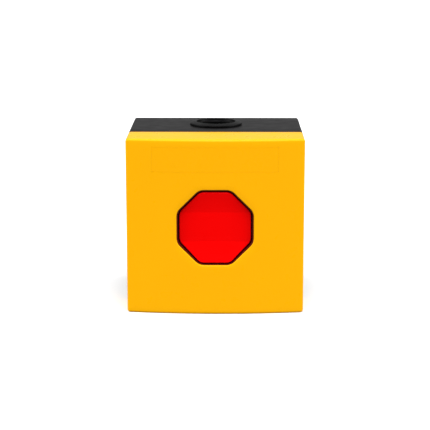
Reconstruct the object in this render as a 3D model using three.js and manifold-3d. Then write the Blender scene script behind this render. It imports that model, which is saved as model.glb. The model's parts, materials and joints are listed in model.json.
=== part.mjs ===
// Emergency stop button for surface mounting: a square two-part box, black behind and yellow in front,
// with an octagonal red push plate set flush in the front and a cable entry in the top.
//
// Frame: millimetres, +Z up. The wall is the plane y = 0 and the front faces -Y. The origin is the centre
// of the mounting face, on the axis of the push plate.
//
// How it works: the push plate, plunger and crossbar are clamped together by one long screw and slide in
// the operator frame, which hangs on pillars inside the cover. The crossbar pushes the plungers of two
// normally closed contact blocks. A sliding latch plate drops into the plunger's groove at full travel,
// and the reset pin in the underside lifts it out again.

import * as THREE from "three";
import { mergeVertices } from "three/addons/utils/BufferGeometryUtils.js";
import Module from "manifold-3d";

const wasm = await Module();
wasm.setup();

// ---------------------------------------------------------------- driving dimensions

const SIDE = 88; // width and height of the box
const HALF = SIDE / 2;
const BASE_DEPTH = 49; // wall to seam
const COVER_DEPTH = 22; // seam to the front face, at its left and right edges
const CROWN = 3.3; // how far the middle of the front face stands out past those edges
const WALL = 3;
const FRONT_WALL = 2.6;
const CORNER_R = 1.2;
const GAP = 0.3; // between pieces that touch in the real thing

const SEAM_Y = -BASE_DEPTH;
const EDGE_Y = SEAM_Y - COVER_DEPTH;
const FRONT_Y = EDGE_Y - CROWN;
const CROWN_R = (HALF ** 2 + CROWN ** 2) / (2 * CROWN);
const INNER = HALF - WALL; // half of the clear width inside

const BUTTON_FLATS = 35.5; // across the flats of the push plate
const APERTURE_FLATS = 38.1;
const APERTURE_R = 5.8; // corner radius of the aperture; the pieces inside it have parallel corners
const COLLAR_FLATS = 36.4; // inside the guide collar
const TRAVEL = 5;
const BUTTON_RIM_Y = FRONT_Y + 0.7;
const DISH_DEPTH = 2.3;
const DISH_FOLD_SLOPE = 0.16; // slope of the dish beside its flat middle band; it steepens towards the rim
const DISH_STEPS = 4;

const ENTRY_Y = -BASE_DEPTH / 2; // cable entries lie half way back in the base
const ENTRY_R = 10.5;

const FRAME_Y = [-54, -51]; // front and back of the operator frame's plate
const PILLAR_AT = 24;
const SHAFT_R = 5;
const CROSSBAR_Y = [-33.7, -31];
const CARRIER_Y = [-25.5, -23.5];
const BLOCK_X = 13; // contact blocks lie this far left and right of the axis
const LATCH_Y = [-43, -41.5];
const LATCH_MID_Y = (LATCH_Y[0] + LATCH_Y[1]) / 2;
const RESET_TRAVEL = 2.5;
const SCREW_X = 23.5; // cover screws and cover hooks
const SCREW_Y = -60;
const MOUNT_HOLES = 30; // wall screws, left, right, up and down from the axis

const MATERIALS = {
  yellow: { color: 0xf6a800, roughness: 0.42, metalness: 0 },
  black: { color: 0x2b2a2c, roughness: 0.6, metalness: 0 },
  red: { color: 0xd40006, roughness: 0.35, metalness: 0 },
  maroon: { color: 0x3a0608, roughness: 0.5, metalness: 0 },
  rubber: { color: 0x1b1b1c, roughness: 0.85, metalness: 0 },
  silicone: { color: 0x8a8c8e, roughness: 0.8, metalness: 0 },
  white: { color: 0xe9e7e0, roughness: 0.4, metalness: 0 },
  grey: { color: 0x6f7478, roughness: 0.55, metalness: 0 },
  blue: { color: 0x1f4fa3, roughness: 0.4, metalness: 0 },
  steel: { color: 0xb9bcc0, roughness: 0.3, metalness: 1 },
  brass: { color: 0xc79a45, roughness: 0.32, metalness: 1 },
  copper: { color: 0xb8683c, roughness: 0.35, metalness: 1 },
};
for (const key of Object.keys(MATERIALS)) {
  MATERIALS[key] = new THREE.MeshStandardMaterial({ name: key, ...MATERIALS[key] });
}

// ---------------------------------------------------------------- solids from three.js geometry

function solidOf(geometry) {
  const loose = geometry.index ? geometry.toNonIndexed() : geometry;
  const bare = new THREE.BufferGeometry();
  bare.setAttribute("position", loose.getAttribute("position"));
  const merged = mergeVertices(bare, 1e-4);
  const corners = merged.index.array;
  const kept = [];
  for (let i = 0; i < corners.length; i += 3) {
    const [a, b, c] = [corners[i], corners[i + 1], corners[i + 2]];
    if (a !== b && b !== c && c !== a) kept.push(a, b, c);
  }
  const vertProperties = merged.attributes.position.array;
  return new wasm.Manifold(new wasm.Mesh({ numProp: 3, vertProperties, triVerts: new Uint32Array(kept) }));
}

function geometryOf(solid) {
  const mesh = solid.getMesh();
  const geometry = new THREE.BufferGeometry();
  geometry.setAttribute("position", new THREE.BufferAttribute(new Float32Array(mesh.vertProperties), 3));
  geometry.setIndex(new THREE.BufferAttribute(new Uint32Array(mesh.triVerts), 1));
  geometry.computeVertexNormals();
  return geometry;
}

function joined(first, ...others) {
  return others.reduce((sum, other) => sum.add(other), first);
}

function cut(body, ...tools) {
  return tools.reduce((rest, tool) => rest.subtract(tool), body);
}

// A box between two values on each axis.
function block([x0, x1], [y0, y1], [z0, z1]) {
  const geometry = new THREE.BoxGeometry(x1 - x0, y1 - y0, z1 - z0);
  return solidOf(geometry.translate((x0 + x1) / 2, (y0 + y1) / 2, (z0 + z1) / 2));
}

// A cylinder along Y between two values of y.
function rodY(radius, [y0, y1], [x, z] = [0, 0], sides = 24) {
  return solidOf(new THREE.CylinderGeometry(radius, radius, y1 - y0, sides).translate(x, (y0 + y1) / 2, z));
}

// A cylinder along Z between two values of z.
function rodZ(radius, [z0, z1], [x, y] = [0, 0], sides = 24) {
  const geometry = new THREE.CylinderGeometry(radius, radius, z1 - z0, sides).rotateX(Math.PI / 2);
  return solidOf(geometry.translate(x, y, (z0 + z1) / 2));
}

// A closed profile of [radius, height] points turned round +Y.
function turned(profile, sides = 32) {
  const points = [...profile, profile[0]].map(([r, h]) => new THREE.Vector2(r, h));
  const solid = solidOf(new THREE.LatheGeometry(points, sides));
  if (solid.volume() > 0) return solid;
  return solidOf(new THREE.LatheGeometry(points.reverse(), sides));
}

// A regular polygon with flats facing the axes and rounded corners.
function roundedPolygon(sides, acrossFlats, radius) {
  const shape = new THREE.Shape();
  const half = Math.PI / sides;
  const reach = (acrossFlats / 2 - radius) / Math.cos(half);
  for (let k = 0; k < sides; k++) {
    const at = half + 2 * half * k;
    shape.absarc(reach * Math.cos(at), reach * Math.sin(at), radius, at - half, at + half, false);
  }
  shape.closePath();
  return shape;
}

// An outline in x and z, extruded between two values of y.
function prismY(shape, [y0, y1], curveSegments = 2) {
  const geometry = new THREE.ExtrudeGeometry(shape, { depth: y1 - y0, bevelEnabled: false, curveSegments });
  return solidOf(geometry.rotateX(Math.PI / 2).translate(0, y1, 0));
}

// An outline in x and y, extruded between two values of z.
function prismZ(shape, [z0, z1], curveSegments = 14) {
  const geometry = new THREE.ExtrudeGeometry(shape, { depth: z1 - z0, bevelEnabled: false, curveSegments });
  return solidOf(geometry.translate(0, 0, z0));
}

const square = (across, radius) => roundedPolygon(4, across, radius);
const octagon = (across, radius) => roundedPolygon(8, across, radius);

// The y of the crowned front surface, or of one parallel to it and inset into the box.
function crownY(x, inset = 0) {
  return FRONT_Y + CROWN_R - Math.sqrt((CROWN_R - inset) ** 2 - x ** 2);
}

// Adds the crowned arc from +x to -x to an outline in x and y, or from -x to +x.
function crownArc(shape, halfWidth, inset, leftToRight = false) {
  const radius = CROWN_R - inset;
  const lean = Math.asin(halfWidth / radius);
  const [right, left] = [-Math.PI / 2 + lean, -Math.PI / 2 - lean];
  if (leftToRight) shape.absarc(0, FRONT_Y + CROWN_R, radius, left, right, false);
  else shape.absarc(0, FRONT_Y + CROWN_R, radius, right, left, true);
}

// Everything behind the crowned surface, back to backY.
function crowned(halfWidth, backY, inset, zRange) {
  const shape = new THREE.Shape();
  crownArc(shape, halfWidth, inset, true);
  shape.lineTo(halfWidth, backY);
  shape.lineTo(-halfWidth, backY);
  shape.closePath();
  return prismZ(shape, zRange);
}

// A sheet that follows the crowned surface between two insets.
function crownedSheet(halfWidth, outerInset, innerInset, zRange) {
  const shape = new THREE.Shape();
  crownArc(shape, halfWidth, outerInset, true);
  crownArc(shape, halfWidth, innerInset);
  shape.closePath();
  return prismZ(shape, zRange);
}

class SpringLine extends THREE.Curve {
  constructor(radius, length, turns) {
    super();
    Object.assign(this, { radius, length, turns });
  }

  // The first and last turns lie flat, so the pitch is taken up in between.
  getPoint(t, target = new THREE.Vector3()) {
    const flat = 0.75 / this.turns;
    const rise = THREE.MathUtils.clamp((t - flat) / (1 - 2 * flat), 0, 1);
    const angle = 2 * Math.PI * this.turns * t;
    const slope = 0.04 * this.length * (t < flat ? t / flat - 1 : t > 1 - flat ? (t - 1 + flat) / flat : 0);
    const along = 0.04 * this.length + 0.92 * this.length * rise + slope;
    return target.set(this.radius * Math.cos(angle), along, this.radius * Math.sin(angle));
  }
}

// A compression spring along +Y from the origin, with its wire's surface just inside both ends.
function spring({ radius, wire, length, turns, stepsPerTurn, sides }) {
  const section = new THREE.Shape();
  section.absarc(0, 0, wire / 2, 0, 2 * Math.PI, false);
  const geometry = new THREE.ExtrudeGeometry(section, {
    steps: turns * stepsPerTurn,
    curveSegments: sides / 2,
    extrudePath: new SpringLine(radius, length - wire, turns),
  });
  return solidOf(geometry.translate(0, wire / 2, 0));
}

// A screw along +Y: its head's underside is at the origin, the head lies at +y and the shank at -y.
function screw({ headR, headH, shankR, length, slot = 1 }) {
  const head = rodY(headR, [0, headH], [0, 0], 16);
  const shank = rodY(shankR, [-length, 0.2], [0, 0], 10);
  const recess = joined(
    block([-slot / 2, slot / 2], [headH * 0.45, headH + 1], [-headR * 0.6, headR * 0.6]),
    block([-headR * 0.6, headR * 0.6], [headH * 0.45, headH + 1], [-slot / 2, slot / 2]),
  );
  return cut(joined(head, shank), recess);
}

// ---------------------------------------------------------------- the scene graph

const root = new THREE.Group();

function add(name, solid, material, parent = root) {
  const mesh = new THREE.Mesh(geometryOf(solid), MATERIALS[material]);
  mesh.name = name;
  parent.add(mesh);
  return mesh;
}

const SIDES = [
  ["left", -1],
  ["right", 1],
];
const CORNERS = [
  ["upper_left", -1, 1],
  ["upper_right", 1, 1],
  ["lower_left", -1, -1],
  ["lower_right", 1, -1],
];

// ---------------------------------------------------------------- enclosure

const LIP = { outer: HALF - 1.6, y: [SEAM_Y - 3, SEAM_Y + 4] };
const REBATE = { outer: HALF - 1.3, y: [SEAM_Y - 4.6, SEAM_Y + 1] };
const LUG = { half: 4.5, y: [SCREW_Y - 4.5, -38], z: [-39.2, -31] };
const CATCH_Y = [-47.5, -45.8];

function coverHook(x) {
  const tab = block([x - 4, x + 4], [-60, -43.5], [37.8, 39.6]);
  const heel = block([x - 4, x + 4], [-60, -54.5], [39, INNER + 1]);
  const nub = block([x - 4, x + 4], [CATCH_Y[1] + GAP, -43.5], [39.4, 40.7]);
  return joined(tab, heel, nub);
}

function frontCover() {
  const outer = crowned(HALF, SEAM_Y, 0, [-HALF, HALF]).intersect(
    prismY(square(SIDE, CORNER_R), [FRONT_Y - 1, SEAM_Y]),
  );
  const inside = crowned(INNER, SEAM_Y + 1, FRONT_WALL, [-INNER, INNER]);
  const shell = cut(outer, inside, prismY(square(2 * REBATE.outer, 1), REBATE.y));
  const pillars = CORNERS.map(([, sx, sz]) => {
    const at = [sx * PILLAR_AT, sz * PILLAR_AT];
    return cut(rodY(3.5, [-72, FRAME_Y[0] - GAP], at, 20), rodY(1.55, [-64, -50], at, 12));
  });
  const pads = SIDES.map(([, s]) =>
    block([s * SCREW_X - 5.5, s * SCREW_X + 5.5], [SCREW_Y - 5.5, SCREW_Y + 5.5], [-INNER - 1, -39.5]),
  );
  const hooks = SIDES.map(([, s]) => coverHook(s * SCREW_X));
  const screwHoles = SIDES.flatMap(([, s]) => [
    rodZ(3.6, [-HALF - 1, -41.3], [s * SCREW_X, SCREW_Y]),
    rodZ(2.1, [-HALF - 1, -39], [s * SCREW_X, SCREW_Y], 16),
  ]);
  return cut(
    joined(shell, ...pillars, ...pads, ...hooks),
    prismY(octagon(APERTURE_FLATS, APERTURE_R), [FRONT_Y - 1, -69], 4),
    crownedSheet(31, -1, 0.5, [27.9, 40.1]),
    ...screwHoles,
  );
}

function baseLug(x) {
  const foot = block([x - LUG.half, x + LUG.half], [-47, LUG.y[1]], [-INNER - 1, LUG.z[1]]);
  const arm = block([x - LUG.half, x + LUG.half], LUG.y, LUG.z);
  return cut(joined(foot, arm), rodZ(3, [LUG.z[0] - 1, -32.2], [x, SCREW_Y], 20));
}

// A thin ring cut part way through a wall, so that the disc inside can be knocked out.
function knockout(rod, centre, outside, inside) {
  return cut(rod(10.4, [outside, inside], centre, 32), rod(9.7, [outside - 1, inside + 1], centre, 32));
}

function rearBox() {
  const walls = prismY(square(SIDE, CORNER_R), [SEAM_Y + GAP, 0]);
  const lip = prismY(square(2 * LIP.outer, 1), LIP.y);
  const shell = cut(joined(walls, lip), block([-INNER, INNER], [-60, -WALL], [-INNER, INNER]));
  const wallBosses = CORNERS.map(([, sx, sz]) => rodY(5, [-6, -1], [sx * MOUNT_HOLES, sz * MOUNT_HOLES], 20));
  const wallHoles = CORNERS.map(([, sx, sz]) => rodY(2.3, [-7, 1], [sx * MOUNT_HOLES, sz * MOUNT_HOLES], 16));
  const lugs = SIDES.map(([, s]) => baseLug(s * SCREW_X));
  const catches = SIDES.map(([, s]) => block([s * SCREW_X - 5, s * SCREW_X + 5], CATCH_Y, [39.9, INNER + 1]));
  const resetGuide = cut(
    rodZ(6.2, [-INNER - 1, -36.5], [0, LATCH_MID_Y]),
    rodZ(4.8, [-INNER, -36], [0, LATCH_MID_Y]),
  );
  const earthBoss = block([-37, -27], [-6, -1], [-13, -3]);
  return cut(
    joined(shell, ...wallBosses, ...lugs, ...catches, resetGuide, earthBoss),
    ...wallHoles,
    rodZ(ENTRY_R, [INNER - 1, HALF + 1], [0, ENTRY_Y], 32),
    rodZ(3, [-HALF - 1, -INNER + 0.5], [0, LATCH_MID_Y], 20),
    knockout(rodZ, [0, ENTRY_Y], -HALF - 1, -HALF + 1.4),
    knockout(rodY, [0, 0], -1.4, 1),
  );
}

function coverGasket() {
  const y = [REBATE.y[0] + 0.1, LIP.y[0] - 0.1];
  return cut(
    prismY(square(2 * REBATE.outer - 0.2, 0.9), y),
    block([-INNER - 0.1, INNER + 0.1], [y[0] - 1, y[1] + 1], [-INNER - 0.1, INNER + 0.1]),
  );
}

// Along +Y, with the top face of the base at the origin: the flange is above it and the neck below.
function cableGrommet() {
  return turned(
    [
      [8.6, -4.8],
      [10.2, -4.8],
      [11.6, -4.3],
      [11.6, -3.2],
      [10.2, -3.1],
      [10.2, 0.1],
      [13.45, 0.1],
      [13.45, 1.2],
      [10.9, 1.85],
      [10.1, 1.85],
      [10.1, 0.4],
      [8.6, 0.4],
    ],
    36,
  );
}

add("rear_box", rearBox(), "black");
add("front_cover", frontCover(), "yellow");
add("cover_gasket", coverGasket(), "silicone");
add("legend_label", crownedSheet(30.88, 0.06, 0.45, [28.02, 39.98]), "yellow");

const grommet = add("cable_grommet", cableGrommet(), "rubber");
grommet.position.set(0, ENTRY_Y, HALF);
grommet.rotation.x = Math.PI / 2;

for (const [side, s] of SIDES) {
  const fixing = new THREE.Group();
  fixing.position.set(s * SCREW_X, SCREW_Y, 0);
  root.add(fixing);
  const coverScrew = add(
    `cover_screw_${side}`,
    screw({ headR: 3.2, headH: 1.9, shankR: 1.65, length: 7.8 }),
    "steel",
    fixing,
  );
  coverScrew.position.z = -41.35;
  coverScrew.rotation.x = -Math.PI / 2;
  add(
    `screw_insert_${side}`,
    cut(rodZ(2.7, [-38.9, -32.9], [0, 0], 20), rodZ(1.85, [-40, -32], [0, 0], 16)),
    "brass",
    fixing,
  );
}

const earth = new THREE.Group();
earth.position.set(-32, -6, -8);
root.add(earth);
add(
  "earth_terminal",
  cut(block([-4, 4], [-8, -GAP], [-3.6, 3.6]), rodZ(1.8, [-5, 5], [-1, -2.8], 16), rodY(1.6, [-9, -3], [-1, 0], 12)),
  "brass",
  earth,
);
const earthScrew = add("earth_screw", screw({ headR: 2.9, headH: 2, shankR: 1.4, length: 2.8 }), "steel", earth);
earthScrew.position.set(-1, -8.15, 0);
earthScrew.rotation.x = Math.PI;

// ---------------------------------------------------------------- push button and its guide

// Points (y, z) of the dish from its rim to its flat middle band.
function dishProfile(fold) {
  const run = BUTTON_FLATS / 2 - fold;
  const points = [];
  for (let k = DISH_STEPS; k >= 0; k -= 1) {
    const share = k / DISH_STEPS;
    const straight = DISH_FOLD_SLOPE * run;
    const rise = straight * share + (DISH_DEPTH - straight) * share ** 2;
    points.push([BUTTON_RIM_Y + DISH_DEPTH - rise, fold + run * share]);
  }
  return points;
}

function pushPlate() {
  const vertex = (BUTTON_FLATS / 2) * Math.tan(Math.PI / 8); // half of one side of the octagon
  const top = BUTTON_FLATS / 2 + 0.5;
  const dish = dishProfile(vertex);
  const side = new THREE.Shape();
  side.moveTo(-64, -top);
  side.lineTo(-64, top);
  side.lineTo(BUTTON_RIM_Y, top);
  for (const [y, z] of dish) {
    side.lineTo(y, z);
  }
  for (const [y, z] of dish.reverse()) {
    side.lineTo(y, -z);
  }
  side.lineTo(BUTTON_RIM_Y, -top);
  side.closePath();
  // Drawn as y and z, so the extrusion along z is turned to lie along x.
  const geometry = new THREE.ExtrudeGeometry(side, { depth: 2 * top, bevelEnabled: false });
  const turn = new THREE.Matrix4().makeBasis(
    new THREE.Vector3(0, 1, 0),
    new THREE.Vector3(0, 0, 1),
    new THREE.Vector3(1, 0, 0),
  );
  const dished = solidOf(geometry.translate(0, 0, -top).applyMatrix4(turn));
  const outside = dished.intersect(prismY(octagon(BUTTON_FLATS, APERTURE_R - 1.3), [FRONT_Y - 1, -60], 4));
  const hollow = cut(
    prismY(octagon(BUTTON_FLATS - 3.2, 1.4), [-70.3, -60]),
    rodY(9, [-71, -68 - GAP]),
    rodY(3, [-71, -61], [0, 0], 20),
  );
  return cut(outside, hollow, rodY(1.6, [-70.1, -60], [0, 0], 12));
}

// The nose lines the aperture with a thin wall, and the body behind it guides the push plate.
function guideCollar() {
  const nose = prismY(octagon(APERTURE_FLATS - 0.3, APERTURE_R - 0.15), [BUTTON_RIM_Y + 0.5, -69], 4);
  const body = prismY(octagon(COLLAR_FLATS + 5.4, 5.4), [-70.9, -58]);
  return cut(
    joined(nose, body),
    prismY(octagon(APERTURE_FLATS - 1.2, APERTURE_R - 0.6), [FRONT_Y - 1, -69.5], 4),
    prismY(octagon(COLLAR_FLATS, 3), [FRONT_Y - 1, -57]),
  );
}

const plunger = [
  [3.25, -68],
  [11, -68],
  [11, -66],
  [SHAFT_R, -66],
  [SHAFT_R, LATCH_Y[0] - TRAVEL - 0.2],
  [3.6, LATCH_Y[0] - TRAVEL - 0.2],
  [3.6, LATCH_Y[1] - TRAVEL + 0.2],
  [SHAFT_R, LATCH_Y[1] - TRAVEL + 0.2],
  [SHAFT_R, CROSSBAR_Y[0] - GAP],
  [1.7, CROSSBAR_Y[0] - GAP],
  [1.7, -60.7],
  [3.25, -60.7],
];

const sealingBoot = [
  [22.5, FRAME_Y[0] - GAP],
  [19.2, FRAME_Y[0] - GAP],
  [19.2, -56.9],
  [14.6, -56.9],
  [12.4, -65.7],
  [11.3, -65.7],
  [11.3, -68],
  [13.3, -68],
  [13.3, -66.5],
  [15.5, -57.7],
  [22.5, -57.7],
];

function crossbar() {
  const bar = block([-20, 20], CROSSBAR_Y, [-4.5, 4.5]);
  const waist = block([-8, 8], [CROSSBAR_Y[0] - 1, CROSSBAR_Y[1] + 1], [3.4, 6]);
  const mirrored = block([-8, 8], [CROSSBAR_Y[0] - 1, CROSSBAR_Y[1] + 1], [-6, -3.4]);
  return cut(bar, waist, mirrored, rodY(1.7, [CROSSBAR_Y[0] - 1, CROSSBAR_Y[1] + 1], [0, 0], 16));
}

add("push_plate", pushPlate(), "red");
add("guide_collar", guideCollar(), "maroon");
add("plunger", turned(plunger, 28), "white");
add("sealing_boot", turned(sealingBoot, 28), "silicone");
add("crossbar", crossbar(), "white");

const tieScrew = add(
  "tie_screw",
  screw({ headR: 2.9, headH: 2.2, shankR: 1.45, length: 38.8 }),
  "steel",
);
tieScrew.position.y = CROSSBAR_Y[1] + 0.05;

const returnSpring = add(
  "return_spring",
  spring({ radius: 8.7, wire: 1.2, length: 11.6, turns: 5, stepsPerTurn: 16, sides: 6 }),
  "steel",
);
returnSpring.position.y = -65.8;

// ---------------------------------------------------------------- operator frame and latch

const LATCH = { half: 8, top: 12, waist: -12, tail: -34, windowTop: SHAFT_R + GAP };
const SHELF_Z = [19.7, 22];
const POST_X = 25;

function operatorFrame() {
  const plate = prismY(square(58, 4), FRAME_Y);
  const frontTube = rodY(7, [-60.7, -52]);
  const backTube = rodY(8.2, [-52, LATCH_Y[0] - GAP]);
  const rails = SIDES.flatMap(([, s]) => {
    const span = (a, b) => [Math.min(s * a, s * b), Math.max(s * a, s * b)];
    return [
      block(span(8.3, 11), [-52, CROSSBAR_Y[0] - GAP], [-12, 14]),
      block(span(6.9, 9), [LATCH_Y[1] + GAP, -40], [-12, 14]),
      rodY(3.5, [-52, CARRIER_Y[0] - GAP], [s * POST_X, 0], 20),
    ];
  });
  const shelf = block([-5, 5], [-52, -39], SHELF_Z);
  const web = block([-1, 1], [-52, LATCH_Y[0] - 1.5], [8, SHELF_Z[0] + 0.5]);
  const holes = CORNERS.map(([, sx, sz]) => rodY(1.8, [-56, -49], [sx * PILLAR_AT, sz * PILLAR_AT], 12));
  const pilots = SIDES.map(([, s]) => rodY(1.3, [-34, -24], [s * POST_X, 0], 12));
  return cut(
    joined(plate, frontTube, backTube, ...rails, shelf, web),
    rodY(SHAFT_R + GAP, [-62, -42]),
    ...holes,
    ...pilots,
  );
}

// A flat plate with a window round the plunger. Its window's top edge is what drops into the groove.
function latchPlate() {
  const upper = block([-LATCH.half, LATCH.half], LATCH_Y, [LATCH.waist, LATCH.top]);
  const tail = block([-2.5, 2.5], LATCH_Y, [LATCH.tail, LATCH.waist + 1]);
  const nib = block([-1, 1], LATCH_Y, [LATCH.top - 1, LATCH.top + 2]);
  const depth = [LATCH_Y[0] - 1, LATCH_Y[1] + 1];
  const windowLow = -SHAFT_R - RESET_TRAVEL - GAP;
  const window = joined(
    rodY(LATCH.windowTop, depth, [0, 0], 32),
    block([-LATCH.windowTop, LATCH.windowTop], depth, [windowLow, 0]),
  );
  return cut(joined(upper, tail, nib), window);
}

function contactCarrier() {
  const plate = block([-29, 29], CARRIER_Y, [-19.5, 19.5]);
  const hooks = SIDES.flatMap(([, sx]) =>
    [-1, 1].flatMap((sz) => {
      const span = (a, b) => [Math.min(sz * a, sz * b), Math.max(sz * a, sz * b)];
      const x = [sx * BLOCK_X - 2.5, sx * BLOCK_X + 2.5];
      return [
        block(x, [CARRIER_Y[0], -18.6], span(17.3, 18.8)),
        block(x, [-20.4, -18.6], span(16.4, 18)),
      ];
    }),
  );
  const plungerHoles = SIDES.map(([, s]) =>
    block([s * BLOCK_X - 2.6, s * BLOCK_X + 2.6], [-27, -22], [-2.6, 2.6]),
  );
  const screwHoles = SIDES.map(([, s]) => rodY(1.8, [-27, -22], [s * POST_X, 0], 12));
  return cut(joined(plate, ...hooks), rodY(5, [-27, -22]), ...plungerHoles, ...screwHoles);
}

add("operator_frame", operatorFrame(), "grey");
add("latch_plate", latchPlate(), "steel");
add("contact_carrier", contactCarrier(), "grey");

const latchSpring = add(
  "latch_spring",
  spring({ radius: 1.9, wire: 0.5, length: 7.3, turns: 5, stepsPerTurn: 10, sides: 6 }),
  "steel",
);
latchSpring.position.set(0, LATCH_MID_Y, LATCH.top + 0.2);
latchSpring.rotation.x = Math.PI / 2;

const resetPin = add(
  "reset_pin",
  turned(
    [
      [0, -43.6],
      [2.6, -43.6],
      [2.6, -39.6],
      [4.4, -39.6],
      [4.4, -38.2],
      [1.8, -38.2],
      [1.8, LATCH.tail - GAP],
      [0, LATCH.tail - GAP],
    ],
    24,
  ),
  "blue",
);
resetPin.position.y = LATCH_MID_Y;
resetPin.rotation.x = Math.PI / 2;

const resetSeal = add(
  "reset_seal",
  turned(
    [
      [2.9, -40.9],
      [4.4, -40.9],
      [4.4, -39.8],
      [2.9, -39.8],
    ],
    24,
  ),
  "rubber",
);
resetSeal.position.y = LATCH_MID_Y;
resetSeal.rotation.x = Math.PI / 2;

for (const [corner, sx, sz] of CORNERS) {
  const frameScrew = add(
    `frame_screw_${corner}`,
    screw({ headR: 2.8, headH: 1.8, shankR: 1.4, length: 11 }),
    "steel",
  );
  frameScrew.position.set(sx * PILLAR_AT, FRAME_Y[1] + 0.05, sz * PILLAR_AT);
}

for (const [side, s] of SIDES) {
  const carrierScrew = add(
    `carrier_screw_${side}`,
    screw({ headR: 2.6, headH: 1.6, shankR: 1.15, length: 8 }),
    "steel",
  );
  carrierScrew.position.set(s * POST_X, CARRIER_Y[1] + 0.05, 0);
}

// ---------------------------------------------------------------- contact blocks

const BLOCK_Y = [CARRIER_Y[1] + GAP, -5];
const FIXED_Y = -17.6; // front of the fixed contact strip
const BRIDGE_Y = -15.6; // front of the moving bridge
const TERMINAL_Z = 13;

function contactHousing() {
  const body = block([-5, 5], BLOCK_Y, [-17, 17]);
  const chamber = block([-3.6, 3.6], [-18.2, -6.2], [-8.2, 8.2]);
  const plungerHole = block([-2.1, 2.1], [-24, -17], [-2.1, 2.1]);
  const ends = [-1, 1].flatMap((s) => {
    const span = (a, b) => [Math.min(s * a, s * b), Math.max(s * a, s * b)];
    return [
      block([-3.6, 3.6], [-18.2, -4], span(9.2, 18)),
      block([-3.6, 3.6], [-18.2, -14], span(8, 9.5)),
      block([-2.8, 2.8], [-20.7, -18], span(16.1, 18)),
    ];
  });
  return cut(body, chamber, plungerHole, ...ends);
}

// A strip that carries the fixed contact at its inner end and the terminal screw at its outer end.
function fixedContact(s) {
  const span = (a, b) => [Math.min(s * a, s * b), Math.max(s * a, s * b)];
  const width = [-1.75, 1.75];
  const strip = block(width, [FIXED_Y, FIXED_Y + 0.8], span(4.8, 10.2));
  const riser = block(width, [FIXED_Y, -12], span(9.4, 10.2));
  const shelf = block([-3.1, 3.1], [-13, -12], span(9.4, 16.4));
  const tip = rodY(1.5, [FIXED_Y + 0.5, -16.3], [0, s * 6.5], 16);
  return cut(joined(strip, riser, shelf, tip), rodY(1.6, [-14, -11], [0, s * TERMINAL_Z], 16));
}

function movingBridge() {
  const strip = block([-1.75, 1.75], [BRIDGE_Y, BRIDGE_Y + 0.8], [-8, 8]);
  const tips = [-1, 1].map((s) => rodY(1.5, [-16.25, BRIDGE_Y + 0.3], [0, s * 6.5], 16));
  const spigot = rodY(0.9, [BRIDGE_Y + 0.4, BRIDGE_Y + 2], [0, 0], 12);
  return joined(strip, ...tips, spigot);
}

function contactPlunger() {
  const tip = block([-1.8, 1.8], [CROSSBAR_Y[1] + GAP, BRIDGE_Y - 0.1], [-1.8, 1.8]);
  const shoulder = block([-2.9, 2.9], [-17.9, -17], [-2, 2]);
  return joined(tip, shoulder);
}

for (const [side, s] of SIDES) {
  const unit = new THREE.Group();
  unit.position.x = s * BLOCK_X;
  root.add(unit);
  add(`contact_block_${side}`, contactHousing(), "black", unit);
  add(`contact_plunger_${side}`, contactPlunger(), "red", unit);
  add(`moving_bridge_${side}`, movingBridge(), "copper", unit);
  const contactSpring = add(
    `contact_spring_${side}`,
    spring({ radius: 1.6, wire: 0.4, length: 8.3, turns: 5, stepsPerTurn: 10, sides: 6 }),
    "steel",
    unit,
  );
  contactSpring.position.y = BRIDGE_Y + 0.9;
  for (const [end, t] of [
    ["upper", 1],
    ["lower", -1],
  ]) {
    add(`fixed_contact_${side}_${end}`, fixedContact(t), "copper", unit);
    const terminalScrew = add(
      `terminal_screw_${side}_${end}`,
      screw({ headR: 2.5, headH: 2, shankR: 1.3, length: 8.5, slot: 0.8 }),
      "steel",
      unit,
    );
    terminalScrew.position.set(0, -9.2, t * TERMINAL_Z);
    const clamp = add(
      `wire_clamp_${side}_${end}`,
      cut(block([-2.9, 2.9], [-0.5, 0.5], [-2.9, 2.9]), rodY(1.55, [-1, 1], [0, 0], 16)),
      "steel",
      unit,
    );
    clamp.position.set(0, -10, t * TERMINAL_Z);
  }
}

export default root;
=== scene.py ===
"""Looks for the emergency stop station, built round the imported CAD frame.

The wall is the plane y = 0, the front faces -Y and +Z is up. Lengths below are in millimetres unless a name
says otherwise, and become metres where a mesh is made.
"""

import json
import math

import bmesh
import bpy
from mathutils import Matrix, Vector


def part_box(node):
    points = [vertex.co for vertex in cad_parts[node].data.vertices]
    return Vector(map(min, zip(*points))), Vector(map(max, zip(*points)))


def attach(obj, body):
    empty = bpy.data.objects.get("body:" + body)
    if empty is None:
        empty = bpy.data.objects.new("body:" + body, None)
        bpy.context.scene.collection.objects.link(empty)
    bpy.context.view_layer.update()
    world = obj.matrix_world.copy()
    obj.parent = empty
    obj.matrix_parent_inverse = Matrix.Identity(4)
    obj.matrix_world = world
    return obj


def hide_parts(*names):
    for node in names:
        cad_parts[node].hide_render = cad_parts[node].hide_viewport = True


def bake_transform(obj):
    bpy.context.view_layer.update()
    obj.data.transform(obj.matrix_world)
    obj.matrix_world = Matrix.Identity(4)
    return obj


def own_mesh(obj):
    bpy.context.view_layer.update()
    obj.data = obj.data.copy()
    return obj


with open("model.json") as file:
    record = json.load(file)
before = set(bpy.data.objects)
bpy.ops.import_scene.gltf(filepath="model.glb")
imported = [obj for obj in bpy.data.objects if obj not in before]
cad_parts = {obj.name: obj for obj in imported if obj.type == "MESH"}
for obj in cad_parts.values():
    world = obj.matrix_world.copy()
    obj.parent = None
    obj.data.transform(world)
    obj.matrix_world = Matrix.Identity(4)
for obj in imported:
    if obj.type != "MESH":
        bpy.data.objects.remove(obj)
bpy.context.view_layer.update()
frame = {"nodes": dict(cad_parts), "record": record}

MM = 0.001
TAU = 2 * math.pi


# ---------------------------------------------------------------- sizes, from the CAD's own boxes


def box_mm(node):
    low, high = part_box(node)
    return low / MM, high / MM


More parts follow.
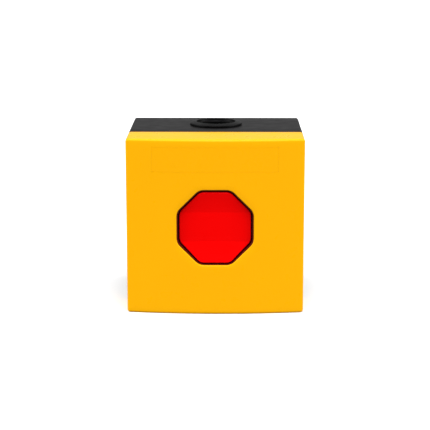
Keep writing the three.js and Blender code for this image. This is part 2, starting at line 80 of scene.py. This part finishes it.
cover_low, cover_high = box_mm("front_cover")
base_low = box_mm("rear_box")[0]
plate_low, plate_high = box_mm("push_plate")
label_low, label_high = box_mm("legend_label")
grommet_low, grommet_high = box_mm("cable_grommet")

SKIN = 0.02  # the visible skin lies this far inside the CAD's faces
HALF = cover_high.x
CROWN = 3.3  # how far the front's edges lie behind its middle
CROWN_R = (HALF**2 + CROWN**2) / (2 * CROWN)
FRONT_Y = cover_low.y
SEAM_COVER_Y = -49.0  # the cover's back edge
SEAM_BASE_Y = SEAM_COVER_Y + 0.3  # the rear box's front edge
APERTURE_FLATS = 38.1
APERTURE_R = 5.8  # corner radius of the aperture
PLATE_R = 4.5  # and of the push plate inside it
PLATE_FLATS = plate_high.x - plate_low.x
PLATE_RIM_Y = plate_low.y
PLATE_FOLD_Z = PLATE_FLATS / 2 * math.tan(math.pi / 8)
PLATE_DISH = 2.3  # depth of the flat band behind the rim
PLATE_RUN = PLATE_FLATS / 2 - PLATE_FOLD_Z
FOLD_SLOPE = 0.16  # of the slopes where they leave the band
FOLD_SOFT = 0.2  # half the width of the rounded fold
SHARP_ANGLE = 32.0  # degrees between faces from which an edge stays sharp


def crown_y(x):
    return FRONT_Y + CROWN_R - math.sqrt(CROWN_R**2 - x * x)


# ---------------------------------------------------------------- mesh helpers


def make_object(name, bm, smooth_angle=35.0):
    """A mesh object from a bmesh in millimetres, its normals turned outwards."""
    bmesh.ops.remove_doubles(bm, verts=bm.verts, dist=1e-4)
    bmesh.ops.recalc_face_normals(bm, faces=bm.faces)
    bmesh.ops.scale(bm, vec=(MM, MM, MM), verts=bm.verts)
    mesh = bpy.data.meshes.new(name)
    bm.to_mesh(mesh)
    bm.free()
    obj = bpy.data.objects.new(name, mesh)
    bpy.context.scene.collection.objects.link(obj)
    smooth(obj, smooth_angle)
    return obj


def smooth(obj, angle):
    obj.data.shade_smooth()
    obj.data.set_sharp_from_angle(angle=math.radians(angle))


def loft(loops, closed=False, cap=True):
    """A bmesh skin through loops of equal length. closed joins the last loop to the first."""
    bm = bmesh.new()
    rings = [[bm.verts.new(p) for p in loop] for loop in loops]
    pairs = list(zip(rings, rings[1:]))
    if closed:
        pairs.append((rings[-1], rings[0]))
    for a, b in pairs:
        for k in range(len(a)):
            j = (k + 1) % len(a)
            bm.faces.new((a[k], a[j], b[j], b[k]))
    if cap and not closed:
        bm.faces.new(rings[0])
        bm.faces.new(list(reversed(rings[-1])))
    return bm


def polygon_outline(sides, flats, radius, per_arc, per_side):
    """Points (x, z) of a regular polygon with rounded corners and flats facing the axes."""
    half = math.pi / sides
    reach = (flats / 2 - radius) / math.cos(half)
    arcs = []
    for c in range(sides):
        at = half + 2 * half * c
        centre = Vector((reach * math.cos(at), reach * math.sin(at)))
        arcs.append([
            centre + radius * Vector((math.cos(a), math.sin(a)))
            for a in (at - half + 2 * half * k / per_arc for k in range(per_arc + 1))
        ])
    points = []
    for c in range(sides):
        points += arcs[c]
        start, end = arcs[c][-1], arcs[(c + 1) % sides][0]
        points += [start.lerp(end, k / per_side) for k in range(1, per_side)]
    return points


def rotated(points, steps):
    return points[steps:] + points[:steps]


RECT_ARC, RECT_SIDE = 4, 40  # segments of each corner and each long side


def rounded_rectangle(width, height, radius):
    """Points (x, z) whose upper half mirrors the lower one, so that strips can close the outline."""
    corners = [(1, 1, 0.0), (-1, 1, 0.25), (-1, -1, 0.5), (1, -1, 0.75)]
    arcs = []
    for sx, sz, turn in corners:
        centre = Vector((sx * (width / 2 - radius), sz * (height / 2 - radius)))
        arcs.append([
            centre + radius * Vector((math.cos(a), math.sin(a)))
            for a in (TAU * (turn + 0.25 * k / RECT_ARC) for k in range(RECT_ARC + 1))
        ])
    points = []
    for c in range(4):
        points += arcs[c]
        if c % 2 == 0:
            start, end = arcs[c][-1], arcs[(c + 1) % 4][0]
            points += [start.lerp(end, k / RECT_SIDE) for k in range(1, RECT_SIDE)]
    return points


def strip_solid(loops):
    """A skin through loops of rounded_rectangle, both ends closed by upright strips that follow the crown."""
    bm = loft(loops, cap=False)
    bm.verts.ensure_lookup_table()
    count = len(loops[0])
    for first, flip in ((0, False), (len(bm.verts) - count, True)):
        ring = bm.verts[first : first + count]
        for k in range(count // 2 - 1):
            face = [ring[k], ring[k + 1], ring[count - 2 - k], ring[count - 1 - k]]
            bm.faces.new(reversed(face) if flip else face)
    return bm


def fillet(radius, steps):
    """(inset, setback) pairs round a quarter circle, from the side to the face."""
    return [
        (radius * (1 - math.cos(a)), radius * (1 - math.sin(a)))
        for a in (math.pi / 2 * k / steps for k in range(steps + 1))
    ]


def revolve(profile, segments, axis, centre=(0, 0, 0)):
    """A closed profile of (radius, height) points turned about an axis through centre."""
    loops = []
    for k in range(segments):
        c, s = math.cos(TAU * k / segments), math.sin(TAU * k / segments)
        if axis == "Z":
            loops.append([(centre[0] + r * c, centre[1] + r * s, centre[2] + h) for r, h in profile])
        else:
            loops.append([(centre[0] + r * c, centre[1] + h, centre[2] + r * s) for r, h in profile])
    return loft(loops, closed=True)


def boolean(target, tool, operation):
    """Applies the tool to the target with the exact solver, clears slivers and removes the tool."""
    modifier = target.modifiers.new("boolean", "BOOLEAN")
    modifier.object, modifier.operation, modifier.solver = tool, operation, "EXACT"
    graph = bpy.context.evaluated_depsgraph_get()
    mesh = bpy.data.meshes.new_from_object(target.evaluated_get(graph))
    bm = bmesh.new()
    bm.from_mesh(mesh)
    bmesh.ops.dissolve_degenerate(bm, dist=1e-6, edges=bm.edges)
    bm.to_mesh(mesh)
    bm.free()
    target.modifiers.clear()
    target.data = mesh
    bpy.data.objects.remove(tool)
    return target


def welded_copy(node, name):
    """A new object with the CAD node's solid, its faces joined and flat ones merged."""
    bm = bmesh.new()
    bm.from_mesh(frame["nodes"][node].data)
    bmesh.ops.remove_doubles(bm, verts=bm.verts, dist=1e-6)
    bmesh.ops.dissolve_limit(bm, angle_limit=math.radians(0.05), verts=bm.verts, edges=bm.edges)
    mesh = bpy.data.meshes.new(name)
    bm.to_mesh(mesh)
    bm.free()
    imported_normals = mesh.attributes.get("custom_normal")
    if imported_normals:
        mesh.attributes.remove(imported_normals)
    obj = bpy.data.objects.new(name, mesh)
    bpy.context.scene.collection.objects.link(obj)
    return obj


def dress(obj, body, slot, *replaced):
    """Puts a finished piece on its body, in its slot, in place of CAD nodes."""
    obj.data.materials.clear()
    obj.data.materials.append(MATERIALS[slot])
    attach(obj, body)
    if replaced:
        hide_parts(*replaced)
    return obj


# ---------------------------------------------------------------- materials

FLOW_SCALE, GLOSS_SCALE, GRAIN_SCALE, CLOUD_SCALE = 45.0, 160.0, 2600.0, 300.0  # cells in a metre
NOISE_LOW, NOISE_HIGH = 0.3, 0.7  # the range that most of a noise texture keeps to
METAL_SHADE = 0.06


def node_material(name):
    material = bpy.data.materials.new(name)
    material.use_nodes = True
    tree = material.node_tree
    shader = tree.nodes["Principled BSDF"]
    return material, tree, shader


def noise(tree, coords, scale, detail, roughness=0.5):
    node = tree.nodes.new("ShaderNodeTexNoise")
    node.inputs["Scale"].default_value = scale
    node.inputs["Detail"].default_value = detail
    node.inputs["Roughness"].default_value = roughness
    tree.links.new(coords, node.inputs["Vector"])
    return node.outputs["Fac"]


def ramp(tree, factor, low, high):
    node = tree.nodes.new("ShaderNodeMapRange")
    node.inputs["From Min"].default_value = NOISE_LOW
    node.inputs["From Max"].default_value = NOISE_HIGH
    node.inputs["To Min"].default_value = low
    node.inputs["To Max"].default_value = high
    tree.links.new(factor, node.inputs["Value"])
    return node.outputs["Result"]


def mixed(tree, factor, a, b):
    node = tree.nodes.new("ShaderNodeMix")
    node.data_type = "RGBA"
    node.inputs["A"].default_value = (*a, 1)
    node.inputs["B"].default_value = (*b, 1)
    tree.links.new(factor, node.inputs["Factor"])
    return node.outputs["Result"]


def bumped(tree, shader, height, distance):
    node = tree.nodes.new("ShaderNodeBump")
    node.inputs["Distance"].default_value = distance
    tree.links.new(height, node.inputs["Height"])
    tree.links.new(node.outputs["Normal"], shader.inputs["Normal"])


def moulded(name, colour, roughness, specular, grain, shade):
    """Moulded plastic or rubber: spark-eroded grain, faint flow mottle and uneven gloss."""
    material, tree, shader = node_material(name)
    coords = tree.nodes.new("ShaderNodeTexCoord").outputs["Object"]
    flow = noise(tree, coords, FLOW_SCALE, 3.0)
    darker = [c * (1 - shade) for c in colour]
    lighter = [min(1.0, c * (1 + shade)) for c in colour]
    tree.links.new(mixed(tree, ramp(tree, flow, 0, 1), darker, lighter), shader.inputs["Base Color"])
    patches = noise(tree, coords, GLOSS_SCALE, 2.0)
    tree.links.new(
        ramp(tree, patches, roughness - 0.04, roughness + 0.04), shader.inputs["Roughness"]
    )
    fine = noise(tree, coords, GRAIN_SCALE, 1.0)
    bumped(tree, shader, fine, grain * MM)
    shader.inputs["Specular IOR Level"].default_value = specular
    return material


def metal(name, colour, roughness, brushed=0.0):
    """Plated, drawn or turned metal with fine scratches and uneven gloss."""
    material, tree, shader = node_material(name)
    coords = tree.nodes.new("ShaderNodeTexCoord").outputs["Object"]
    mapping = tree.nodes.new("ShaderNodeMapping")
    mapping.inputs["Scale"].default_value = (1, 1, 1 - 0.95 * brushed)
    tree.links.new(coords, mapping.inputs["Vector"])
    cloud = noise(tree, coords, CLOUD_SCALE, 3.0)
    darker = [c * (1 - METAL_SHADE) for c in colour]
    lighter = [min(1.0, c * (1 + METAL_SHADE)) for c in colour]
    tree.links.new(mixed(tree, ramp(tree, cloud, 0, 1), darker, lighter), shader.inputs["Base Color"])
    scratches = noise(tree, mapping.outputs["Vector"], GRAIN_SCALE, 3.0, 0.6)
    tree.links.new(
        ramp(tree, scratches, roughness - 0.08, roughness + 0.1), shader.inputs["Roughness"]
    )
    bumped(tree, shader, scratches, 0.004 * MM)
    shader.inputs["Metallic"].default_value = 1.0
    return material


MATERIALS = {
    "yellow_shell": moulded("yellow_shell", (0.975, 0.45, 0.0), 0.3, 0.11, 0.003, 0.008),
    "yellow_label": moulded("yellow_label", (0.975, 0.446, 0.0), 0.28, 0.11, 0.002, 0.006),
    "black_shell": moulded("black_shell", (0.0078, 0.0074, 0.0077), 0.46, 0.14, 0.012, 0.04),
    "black_moulding": moulded("black_moulding", (0.014, 0.014, 0.015), 0.45, 0.3, 0.01, 0.06),
    "grey_moulding": moulded("grey_moulding", (0.13, 0.145, 0.16), 0.5, 0.4, 0.014, 0.07),
    "red_cap": moulded("red_cap", (0.93, 0.0, 0.0), 0.34, 0.05, 0.003, 0.008),
    # painted shade: the guide collar seen in the aperture gap gets a dark red that stands in for the gap's
    # shade and the red light the button's walls throw into it
    "maroon_moulding": moulded("maroon_moulding", (0.1, 0.004, 0.003), 0.45, 0.15, 0.006, 0.04),
    "red_moulding": moulded("red_moulding", (0.55, 0.008, 0.008), 0.4, 0.4, 0.006, 0.03),
    "white_moulding": moulded("white_moulding", (0.78, 0.75, 0.68), 0.38, 0.4, 0.005, 0.03),
    "blue_moulding": moulded("blue_moulding", (0.012, 0.07, 0.34), 0.4, 0.4, 0.006, 0.04),
    "black_rubber": moulded("black_rubber", (0.0018, 0.0018, 0.002), 0.38, 0.1, 0.01, 0.08),
    "grey_rubber": moulded("grey_rubber", (0.24, 0.25, 0.26), 0.7, 0.3, 0.018, 0.06),
    "zinc_steel": metal("zinc_steel", (0.62, 0.64, 0.66), 0.3),
    "spring_steel": metal("spring_steel", (0.5, 0.5, 0.5), 0.28, 0.6),
    "stainless_steel": metal("stainless_steel", (0.6, 0.6, 0.59), 0.32, 1.0),
    "brass": metal("brass", (0.78, 0.53, 0.22), 0.28, 0.3),
    "contact_copper": metal("contact_copper", (0.75, 0.38, 0.24), 0.3, 0.8),
}


# ---------------------------------------------------------------- outer skins

PER_ARC, PER_SIDE = 8, 10  # octagon corners and sides
SQUARE_SIDE = 2 * (PER_ARC + PER_SIDE) - PER_ARC
SQUARE_SHIFT = (PER_ARC // 2 - PER_ARC - PER_SIDE // 2) % (4 * (PER_ARC + SQUARE_SIDE))


def octagon(flats, radius):
    return polygon_outline(8, flats, radius, PER_ARC, PER_SIDE)


def square(flats, radius):
    """Points that pair up with the octagon's, one by one."""
    return rotated(polygon_outline(4, flats, radius, PER_ARC, SQUARE_SIDE), SQUARE_SHIFT)


def flat_loop(outline, y):
    return [(p.x, y, p.y) for p in outline]


def crowned_loop(outline, setback):
    return [(p.x, crown_y(p.x) + setback, p.y) for p in outline]


SHELL_CORNER_R = 1.35  # corners of the square outline
COVER_FILLET, BASE_FILLET, SEAM_FILLET, APERTURE_FILLET = 1.1, 0.9, 0.3, 0.35
PLUG_FACE_Y = -42.0  # the cover's blank reaches back to here, inside the box
COVER_PLUG, BASE_PLUG = (85.3, 0.8), (84.9, 0.9)  # side and corner of the blanks past the seam
BASE_PLUG_Y = -66.0


def cover_blank():
    """The cover's outer form as a solid block with a filleted front and aperture."""
    side = 2 * (HALF - SKIN)
    corner = SHELL_CORNER_R
    loops = [flat_loop(square(*COVER_PLUG), y) for y in (PLUG_FACE_Y, SEAM_COVER_Y - SKIN)]
    for inset, setback in reversed(fillet(SEAM_FILLET, 4)):
        loops.append(flat_loop(square(side - 2 * inset, corner - inset), SEAM_COVER_Y - SKIN - setback))
    for k in range(1, 5):
        y = SEAM_COVER_Y + (cover_low.y + CROWN + 1.5 - SEAM_COVER_Y) * k / 5
        loops.append(flat_loop(square(side, corner), y))
    for inset, setback in fillet(COVER_FILLET, 7):
        outline = square(side - 2 * inset, max(corner - inset, 0.3))
        loops.append(crowned_loop(outline, setback + SKIN))
    outer = square(side - 2 * COVER_FILLET, 0.3)
    lip = APERTURE_FILLET
    inner = octagon(APERTURE_FLATS + SKIN + 2 * lip, APERTURE_R + lip)
    steps = 12
    for k in range(1, steps):
        blend = [a.lerp(b, k / steps) for a, b in zip(outer, inner)]
        loops.append(crowned_loop(blend, SKIN))
    for inset, setback in reversed(fillet(lip, 4)):
        outline = octagon(APERTURE_FLATS + SKIN + 2 * inset, APERTURE_R + inset)
        loops.append(crowned_loop(outline, SKIN + setback))
    loops.append(flat_loop(octagon(APERTURE_FLATS + SKIN, APERTURE_R), PLUG_FACE_Y))
    return make_object("cover_blank", loft(loops, closed=True))


RECESS_WIDTH, RECESS_HEIGHT, RECESS_DEPTH = 62.06, 12.26, 0.53
RECESS_CORNER_R = 0.3
LEGEND_EDGE = ((0.0, 0.44), (-0.13, 0.42), (-0.13, 0.05), (-0.115, 0.035))  # inset and depth, from the back


def label_cutter():
    """What the legend recess takes away."""
    centre_z = (label_low.z + label_high.z) / 2
    outline = rounded_rectangle(RECESS_WIDTH, RECESS_HEIGHT, RECESS_CORNER_R)
    loops = [
        [(p.x, crown_y(p.x) + depth, p.y + centre_z) for p in outline]
        for depth in (-1.0, RECESS_DEPTH)
    ]
    return make_object("label_cutter", strip_solid(loops))


def front_cover():
    cover = welded_copy("front_cover", "cover_shell")
    boolean(cover, cover_blank(), "INTERSECT")
    boolean(cover, label_cutter(), "DIFFERENCE")
    smooth(cover, SHARP_ANGLE)
    return dress(cover, "enclosure", "yellow_shell", "front_cover")


def base_blank():
    side = 2 * (HALF - SKIN)
    corner = SHELL_CORNER_R
    loops = []
    for inset, setback in reversed(fillet(BASE_FILLET, 5)):
        loops.append(flat_loop(square(side - 2 * inset, max(corner - inset, 0.4)), -SKIN - setback))
    for k in range(1, 4):
        loops.append(flat_loop(square(side, corner), SEAM_BASE_Y * k / 4))
    for inset, setback in fillet(SEAM_FILLET, 4):
        outline = square(side - 2 * inset, corner - inset)
        loops.append(flat_loop(outline, SEAM_BASE_Y + SKIN + setback))
    for y in (SEAM_BASE_Y + SKIN, BASE_PLUG_Y):
        loops.append(flat_loop(square(*BASE_PLUG), y))
    return make_object("base_blank", loft(loops))


def rear_box():
    base = welded_copy("rear_box", "base_shell")
    boolean(base, base_blank(), "INTERSECT")
    smooth(base, SHARP_ANGLE)
    return dress(base, "enclosure", "black_shell", "rear_box")


def legend_label():
    """A thin blank plate that follows the crown, with eased edges."""
    centre_z = (label_low.z + label_high.z) / 2
    width, height = label_high.x - label_low.x, label_high.z - label_low.z
    loops = []
    for inset, depth in LEGEND_EDGE:
        outline = rounded_rectangle(width - 2 * inset, height - 2 * inset, 0.35 - inset)
        loops.append([(p.x, crown_y(p.x) + depth, p.y + centre_z) for p in outline])
    plate = make_object("legend_plate", strip_solid(loops))
    return dress(plate, "enclosure", "yellow_label", "legend_label")


# ---------------------------------------------------------------- push plate

PLATE_FILLET = 0.45
PLATE_SLICE = 0.72  # height of the slices that the slopes bend in
PLATE_SHARP_ANGLE = 20.0
BLANK_BACK_Y, BLANK_FACE_Y = -60.0, -100.0  # the face starts out in front, and is then dished


def dish(z):
    """How far the face lies behind its rim: a flat band, softly folded into slopes that steepen outwards."""
    over = abs(z) - PLATE_FOLD_Z
    if over <= -FOLD_SOFT:
        return PLATE_DISH
    rise = FOLD_SLOPE * ((over + FOLD_SOFT) ** 2 / (4 * FOLD_SOFT) if over < FOLD_SOFT else over)
    share = max(over, 0.0) / PLATE_RUN
    return PLATE_DISH - rise - (PLATE_DISH - FOLD_SLOPE * PLATE_RUN) * share**2


def plate_blank():
    """The push plate's outer form: filleted octagon with the dished face, solid behind."""
    flats = PLATE_FLATS - 2 * SKIN
    bm = bmesh.new()
    edge = fillet(PLATE_FILLET, 5)
    outlines = [octagon(flats - 2 * inset, PLATE_R - inset) for inset, _ in edge]
    rings = [[bm.verts.new((p.x, BLANK_BACK_Y, p.y)) for p in outlines[0]]]
    rings += [[bm.verts.new((p.x, setback + BLANK_FACE_Y, p.y)) for p in outline]
              for outline, (_, setback) in zip(outlines, edge)]
    for a, b in zip(rings, rings[1:]):
        for k in range(len(a)):
            j = (k + 1) % len(a)
            bm.faces.new((a[k], a[j], b[j], b[k]))
    bm.faces.new(rings[0])
    bm.faces.new(list(reversed(rings[-1])))
    steps = [FOLD_SOFT * k / 2 for k in range(-2, 3)]
    steps += [FOLD_SOFT + PLATE_SLICE * k for k in range(1, 14)]
    for z in (sign * (PLATE_FOLD_Z + step) for sign in (-1, 1) for step in steps):
        bmesh.ops.bisect_plane(
            bm, geom=bm.verts[:] + bm.edges[:] + bm.faces[:], dist=1e-5,
            plane_co=(0, 0, z), plane_no=(0, 0, 1),
        )
    for v in bm.verts:
        if v.co.y < (BLANK_BACK_Y + BLANK_FACE_Y) / 2:
            v.co.y = PLATE_RIM_Y + SKIN + dish(v.co.z) + (v.co.y - BLANK_FACE_Y)
    return make_object("plate_blank", bm)


def push_plate():
    plate = welded_copy("push_plate", "push_cap")
    boolean(plate, plate_blank(), "INTERSECT")
    smooth(plate, PLATE_SHARP_ANGLE)
    return dress(plate, "button", "red_cap", "push_plate")


# ---------------------------------------------------------------- grommet


def cable_grommet():
    """A turned rubber entry: outer wall, cone, counterbore, thin ledge and a barbed neck below.

    The profile's heights count from the box's top face, where the grommet's flange sits.
    """
    centre = (grommet_low + grommet_high) / 2
    top = grommet_high.z - SKIN
    face = top - 1.85 + SKIN
    profile = [
        (8.6, -4.78), (10.0, -4.78), (10.2, -4.75), (11.5, -4.3), (11.58, -4.2), (11.58, -3.3), (11.5, -3.22),
        (10.25, -3.12), (10.2, -3.05), (10.2, 0.06), (10.25, 0.12), (13.3, 0.12), (13.4, 0.16), (13.43, 0.24),
        (13.43, 1.06), (13.4, 1.14), (13.32, 1.2), (13.2, 1.23), (11.2, 1.76), (10.9, 1.82), (10.6, 1.84),
        (10.35, 1.83), (10.18, 1.77), (10.1, 1.66), (10.08, 1.5), (10.06, 0.62), (10.0, 0.5), (9.85, 0.42),
        (8.95, 0.42), (8.72, 0.36), (8.6, 0.22),
    ]
    bm = revolve(profile, 96, "Z", (centre.x, centre.y, face))
    return dress(make_object("entry_grommet", bm, 40), "enclosure", "black_rubber", "cable_grommet")


# ---------------------------------------------------------------- springs and boot


def spring_mesh(name, radius, wire, start, length, turns, axis):
    """A coil with closed flat ends along +Y or +Z from start, as a swept round wire."""
    steps, sides = turns * 40, 12
    flat = 0.75 / turns
    centres = []
    for k in range(steps + 1):
        t = k / steps
        rise = min(max((t - flat) / (1 - 2 * flat), 0), 1)
        slope = t / flat - 1 if t < flat else (t - 1 + flat) / flat if t > 1 - flat else 0
        run = length - wire
        along = wire / 2 + run * (0.04 + 0.92 * rise + 0.04 * slope)
        centres.append((TAU * turns * t, along))
    loops = []
    for angle, along in centres:
        loop = []
        for k in range(sides):
            a = TAU * k / sides
            r = radius + wire / 2 * math.cos(a)
            h = along + wire / 2 * math.sin(a)
            loop.append((r * math.cos(angle), r * math.sin(angle), h))
        loops.append(loop)
    bm = loft(loops)
    if axis == "Y":
        bmesh.ops.transform(bm, matrix=Matrix(((1, 0, 0, 0), (0, 0, 1, 0), (0, -1, 0, 0), (0, 0, 0, 1))),
                            verts=bm.verts)
    bmesh.ops.translate(bm, vec=start, verts=bm.verts)
    return make_object(name, bm, 60)


def springs():
    """The four coils."""
    low, high = box_mm("return_spring")
    piece = spring_mesh("return_coil", 8.7, 1.2, (0, low.y, 0), high.y - low.y, 5, "Y")
    dress(piece, "enclosure", "spring_steel", "return_spring")
    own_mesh(piece)
    low, high = box_mm("latch_spring")
    middle = (low + high) / 2
    piece = spring_mesh("latch_coil", 1.9, 0.5, (middle.x, middle.y, low.z), high.z - low.z, 5, "Z")
    dress(piece, "enclosure", "spring_steel", "latch_spring")
    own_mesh(piece)
    for side in ("left", "right"):
        low, high = box_mm(f"contact_spring_{side}")
        x = (low.x + high.x) / 2
        piece = spring_mesh(f"contact_coil_{side}", 1.6, 0.4, (x, low.y, 0), high.y - low.y, 5, "Y")
        dress(piece, "enclosure", "spring_steel", f"contact_spring_{side}")
        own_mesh(piece)


def sealing_boot():
    """A moulded bellows between the frame and the plunger's flange."""
    profile = [
        (22.4, -54.4), (19.3, -54.4), (19.2, -54.6), (19.2, -56.6), (18.9, -56.9), (15.0, -56.9),
        (14.6, -57.2), (14.0, -59.2), (13.2, -62.6), (12.5, -65.4), (12.2, -65.7), (11.4, -65.7),
        (11.3, -65.85), (11.3, -67.85), (11.45, -68.0), (13.1, -68.0), (13.3, -67.8), (13.3, -66.4),
        (14.0, -63.4), (14.8, -60.0), (15.3, -57.9), (15.6, -57.7), (22.3, -57.7), (22.5, -57.5),
        (22.5, -54.6),
    ]
    piece = make_object("sealing_bellows", revolve(profile, 72, "Y"), 40)
    piece.data.materials.append(MATERIALS["grey_rubber"])
    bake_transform(piece)
    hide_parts("sealing_boot")


# ---------------------------------------------------------------- carried-over CAD nodes


def soften_group():
    """Modifier nodes that join a CAD mesh's faces and shade it smooth up to its real edges."""
    group = bpy.data.node_groups.new("soften", "GeometryNodeTree")
    group.interface.new_socket("Geometry", in_out="INPUT", socket_type="NodeSocketGeometry")
    group.interface.new_socket("Geometry", in_out="OUTPUT", socket_type="NodeSocketGeometry")
    nodes, links = group.nodes, group.links
    merge = nodes.new("GeometryNodeMergeByDistance")
    merge.inputs["Distance"].default_value = 1e-6
    plain = nodes.new("GeometryNodeRemoveAttribute")
    plain.inputs["Name"].default_value = "custom_normal"
    faces = nodes.new("GeometryNodeSetShadeSmooth")
    edges = nodes.new("GeometryNodeSetShadeSmooth")
    edges.domain = "EDGE"
    edges.inputs["Shade Smooth"].default_value = False
    angle = nodes.new("GeometryNodeInputMeshEdgeAngle")
    sharp = nodes.new("FunctionNodeCompare")
    sharp.operation = "GREATER_THAN"
    sharp.inputs["B"].default_value = math.radians(SHARP_ANGLE)
    links.new(angle.outputs["Unsigned Angle"], sharp.inputs["A"])
    links.new(sharp.outputs["Result"], edges.inputs["Selection"])
    chain = [nodes.new("NodeGroupInput"), merge, plain, faces, edges, nodes.new("NodeGroupOutput")]
    for before, after in zip(chain, chain[1:]):
        links.new(before.outputs[0], after.inputs[0])
    return group


def finish_cad_nodes():
    """Gives every CAD node that stays its slot's material and smooth round faces."""
    slots = {part["node"]: part["material_slot"] for part in frame["record"]["subparts"]}
    group = soften_group()
    for name, obj in frame["nodes"].items():
        if obj.hide_render:
            continue
        obj.data.materials.clear()
        obj.data.materials.append(MATERIALS[slots[name]])
        obj.modifiers.new("soften", "NODES").node_group = group


# ---------------------------------------------------------------- floor, light and camera

FLOOR_HALF, FLOOR_GAP = 12000.0, 0.02


def stage_floor():
    """A white floor that throws no light back, so that only the room fills from below."""
    bm = bmesh.new()
    corners = [(x * FLOOR_HALF, y * FLOOR_HALF) for x, y in ((-1, -1), (1, -1), (1, 1), (-1, 1))]
    bm.faces.new([bm.verts.new((x, y, base_low.z - FLOOR_GAP)) for x, y in corners])
    floor = make_object("floor", bm)
    material, _, shader = node_material("floor")
    shader.inputs["Base Color"].default_value = (0.9, 0.9, 0.9, 1)
    shader.inputs["Roughness"].default_value = 0.9
    shader.inputs["Specular IOR Level"].default_value = 0.0
    floor.data.materials.append(material)
    floor.visible_diffuse = False
    floor.visible_glossy = False


ROOM_LIGHT, ROOM_SEEN = 0.4, 1.1  # the room's strength as a light, and as the camera sees it
LAMP_SPREAD = math.radians(50)


def soft_lamp(name, direction, strength):
    """A broad far lamp whose light travels along direction."""
    data = bpy.data.lights.new(name, "SUN")
    data.energy = strength
    data.angle = LAMP_SPREAD
    lamp = bpy.data.objects.new(name, data)
    lamp.rotation_mode = "QUATERNION"
    lamp.rotation_quaternion = Vector(direction).to_track_quat("-Z", "Y")
    bpy.context.scene.collection.objects.link(lamp)


def studio():
    """An even pale room, brighter where the camera sees it, a broad key lamp and one at each side."""
    world = bpy.data.worlds.new("studio")
    world.use_nodes = True
    tree = world.node_tree
    background = tree.nodes["Background"]
    background.inputs["Color"].default_value = (1, 1, 1, 1)
    seen = tree.nodes.new("ShaderNodeLightPath").outputs["Is Camera Ray"]
    level = tree.nodes.new("ShaderNodeMapRange")
    level.inputs["To Min"].default_value = ROOM_LIGHT
    level.inputs["To Max"].default_value = ROOM_SEEN
    tree.links.new(seen, level.inputs["Value"])
    tree.links.new(level.outputs["Result"], background.inputs["Strength"])
    bpy.context.scene.world = world
    soft_lamp("key", (-0.03, 0.438, -0.899), 3.08)
    soft_lamp("left", (0.892, 0.157, -0.423), 1.7)
    soft_lamp("right", (-0.892, 0.157, -0.423), 1.8)
    bpy.context.scene.view_settings.view_transform = "Standard"


CAMERA_LENS = 115.06
CAMERA_AT = (0.00635, -0.7332, 0.15255)  # metres
CAMERA_YAW, CAMERA_PITCH = math.radians(-0.557), math.radians(12.48)  # to the right, and down


def camera():
    data = bpy.data.cameras.new("camera")
    data.sensor_width = 36.0
    data.lens = CAMERA_LENS
    obj = bpy.data.objects.new("camera", data)
    obj.location = CAMERA_AT
    level = math.cos(CAMERA_PITCH)
    forward = Vector((math.sin(CAMERA_YAW) * level, math.cos(CAMERA_YAW) * level, -math.sin(CAMERA_PITCH)))
    obj.rotation_mode = "QUATERNION"
    obj.rotation_quaternion = forward.to_track_quat("-Z", "Y")
    bpy.context.scene.collection.objects.link(obj)
    bpy.context.scene.camera = obj


# ---------------------------------------------------------------- everything

camera()
front_cover()
rear_box()
legend_label()
push_plate()
cable_grommet()
springs()
sealing_boot()
finish_cad_nodes()
stage_floor()
studio()
